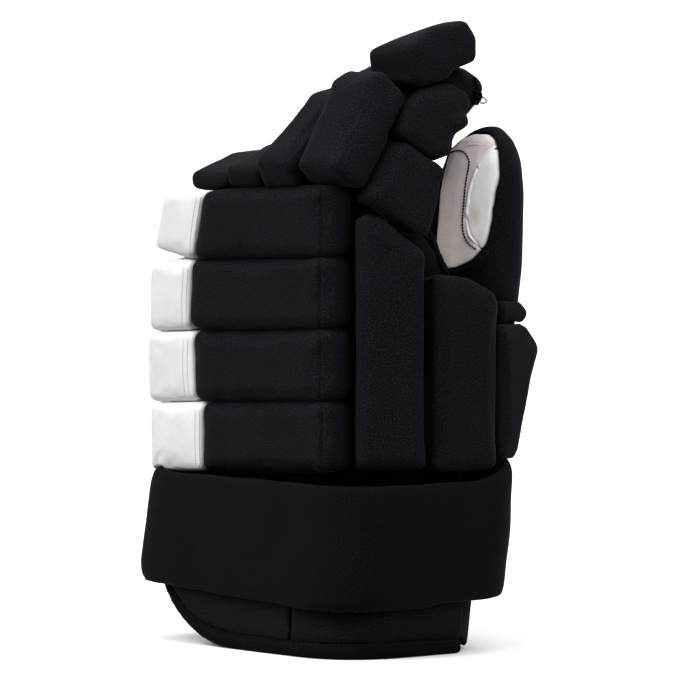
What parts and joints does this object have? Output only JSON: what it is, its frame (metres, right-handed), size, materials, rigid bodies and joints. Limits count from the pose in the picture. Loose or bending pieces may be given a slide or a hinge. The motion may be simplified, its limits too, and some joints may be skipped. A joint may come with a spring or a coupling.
{
  "type": "field hockey glove",
  "caption": "Left-hand padded field hockey glove standing on its cuff, with foam rolls on the back, fingers and thumb side, a leather palm and a wrist band.",
  "frame": {"origin": "centre of the bounding box's bottom face, on the surface that the cuff's hem stands on", "axes": "+Z from the wrist to the fingertips, -Y out of the back of the hand, +X towards the thumb"},
  "size_m": [0.165, 0.1284, 0.2862],
  "materials": {
    "black_textile": "matt woven lining textile",
    "roll_textile": "matt fine woven textile over foam",
    "band_textile": "matt fine woven textile on neoprene",
    "binding_tape": "ribbed binding tape",
    "white_leather": "smooth matt synthetic leather",
    "grey_leather": "suede-like light grey leather"
  },
  "bodies": {
    "root": {"cuff_sleeve": "black_textile", "hand_shell": "black_textile", "index_stall": "black_textile", "middle_stall": "black_textile", "ring_stall": "black_textile", "little_stall": "black_textile", "palm_leather": "grey_leather", "thumb_shell": "black_textile", "thumb_palm_leather": "grey_leather", "thumb_gusset": "white_leather", "wrist_band": "band_textile", "back_roll_1": "roll_textile", "white_roll_end_1": "white_leather", "back_roll_2": "roll_textile", "white_roll_end_2": "white_leather", "back_roll_3": "roll_textile", "white_roll_end_3": "white_leather", "back_roll_4": "roll_textile", "white_roll_end_4": "white_leather", "index_roll": "roll_textile", "middle_roll": "roll_textile", "ring_roll": "roll_textile", "little_roll": "roll_textile", "index_tip_cap": "roll_textile", "middle_tip_cap": "roll_textile", "ring_tip_cap": "roll_textile", "little_tip_cap": "roll_textile", "index_upper_side_pad": "roll_textile", "index_lower_side_pad": "roll_textile", "side_roll_front": "roll_textile", "side_roll_rear": "roll_textile", "thumb_base_pad": "roll_textile", "thumb_heel_pad": "roll_textile", "cuff_flap_thumb_side": "roll_textile", "cuff_flap_back": "roll_textile", "hem_binding": "binding_tape"}
  },
  "joints": []
}
